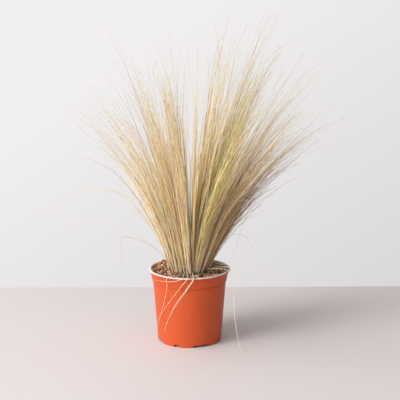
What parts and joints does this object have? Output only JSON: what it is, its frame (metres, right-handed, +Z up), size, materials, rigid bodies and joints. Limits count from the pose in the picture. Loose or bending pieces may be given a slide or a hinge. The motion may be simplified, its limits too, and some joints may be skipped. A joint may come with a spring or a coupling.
{
  "type": "mexican feather grass",
  "caption": "Ornamental feather grass with a fountain of fine straw-coloured leaf tufts, growing in a tapered plastic nursery pot of soil.",
  "frame": {"origin": "on the pot's axis, on the surface the pot stands on", "axes": "+Z up, -Y the side the viewer sees, +X the viewer's right"},
  "size_m": [0.4535, 0.3718, 0.4999],
  "materials": {
    "orange_plastic": "satin",
    "potting_soil": "matte",
    "dry_sheath": "matte",
    "straw_leaf": "matte",
    "pale_leaf": "satin"
  },
  "bodies": {
    "root": {"nursery_pot": "orange_plastic", "potting_soil": "potting_soil", "crown": "dry_sheath", "heart_tuft": "straw_leaf", "inner_tuft_1": "straw_leaf", "inner_tuft_2": "straw_leaf", "inner_tuft_3": "straw_leaf", "inner_tuft_4": "straw_leaf", "inner_tuft_5": "straw_leaf", "inner_tuft_6": "straw_leaf", "middle_tuft_1": "straw_leaf", "middle_tuft_2": "straw_leaf", "middle_tuft_3": "straw_leaf", "middle_tuft_4": "straw_leaf", "middle_tuft_5": "straw_leaf", "middle_tuft_6": "straw_leaf", "middle_tuft_7": "straw_leaf", "middle_tuft_8": "straw_leaf", "middle_tuft_9": "straw_leaf", "middle_tuft_10": "straw_leaf", "middle_tuft_11": "straw_leaf", "middle_tuft_12": "straw_leaf", "outer_tuft_1": "straw_leaf", "outer_tuft_2": "straw_leaf", "outer_tuft_3": "straw_leaf", "outer_tuft_4": "straw_leaf", "outer_tuft_5": "straw_leaf", "outer_tuft_6": "straw_leaf", "outer_tuft_7": "straw_leaf", "outer_tuft_8": "straw_leaf", "outer_tuft_9": "straw_leaf", "outer_tuft_10": "straw_leaf", "outer_tuft_11": "straw_leaf", "outer_tuft_12": "straw_leaf", "outer_tuft_13": "straw_leaf", "outer_tuft_14": "straw_leaf", "outer_tuft_15": "straw_leaf", "outer_tuft_16": "straw_leaf", "outer_tuft_17": "straw_leaf", "outer_tuft_18": "straw_leaf", "left_arching_leaf": "pale_leaf", "left_drooping_leaf": "pale_leaf", "right_arching_leaf": "pale_leaf", "right_bent_leaf": "pale_leaf", "right_trailing_leaf": "pale_leaf", "rear_arching_leaf": "pale_leaf", "front_leaf_bright": "pale_leaf", "front_leaf_long": "pale_leaf", "front_leaf_band": "pale_leaf", "front_leaf_side": "pale_leaf"}
  },
  "joints": []
}
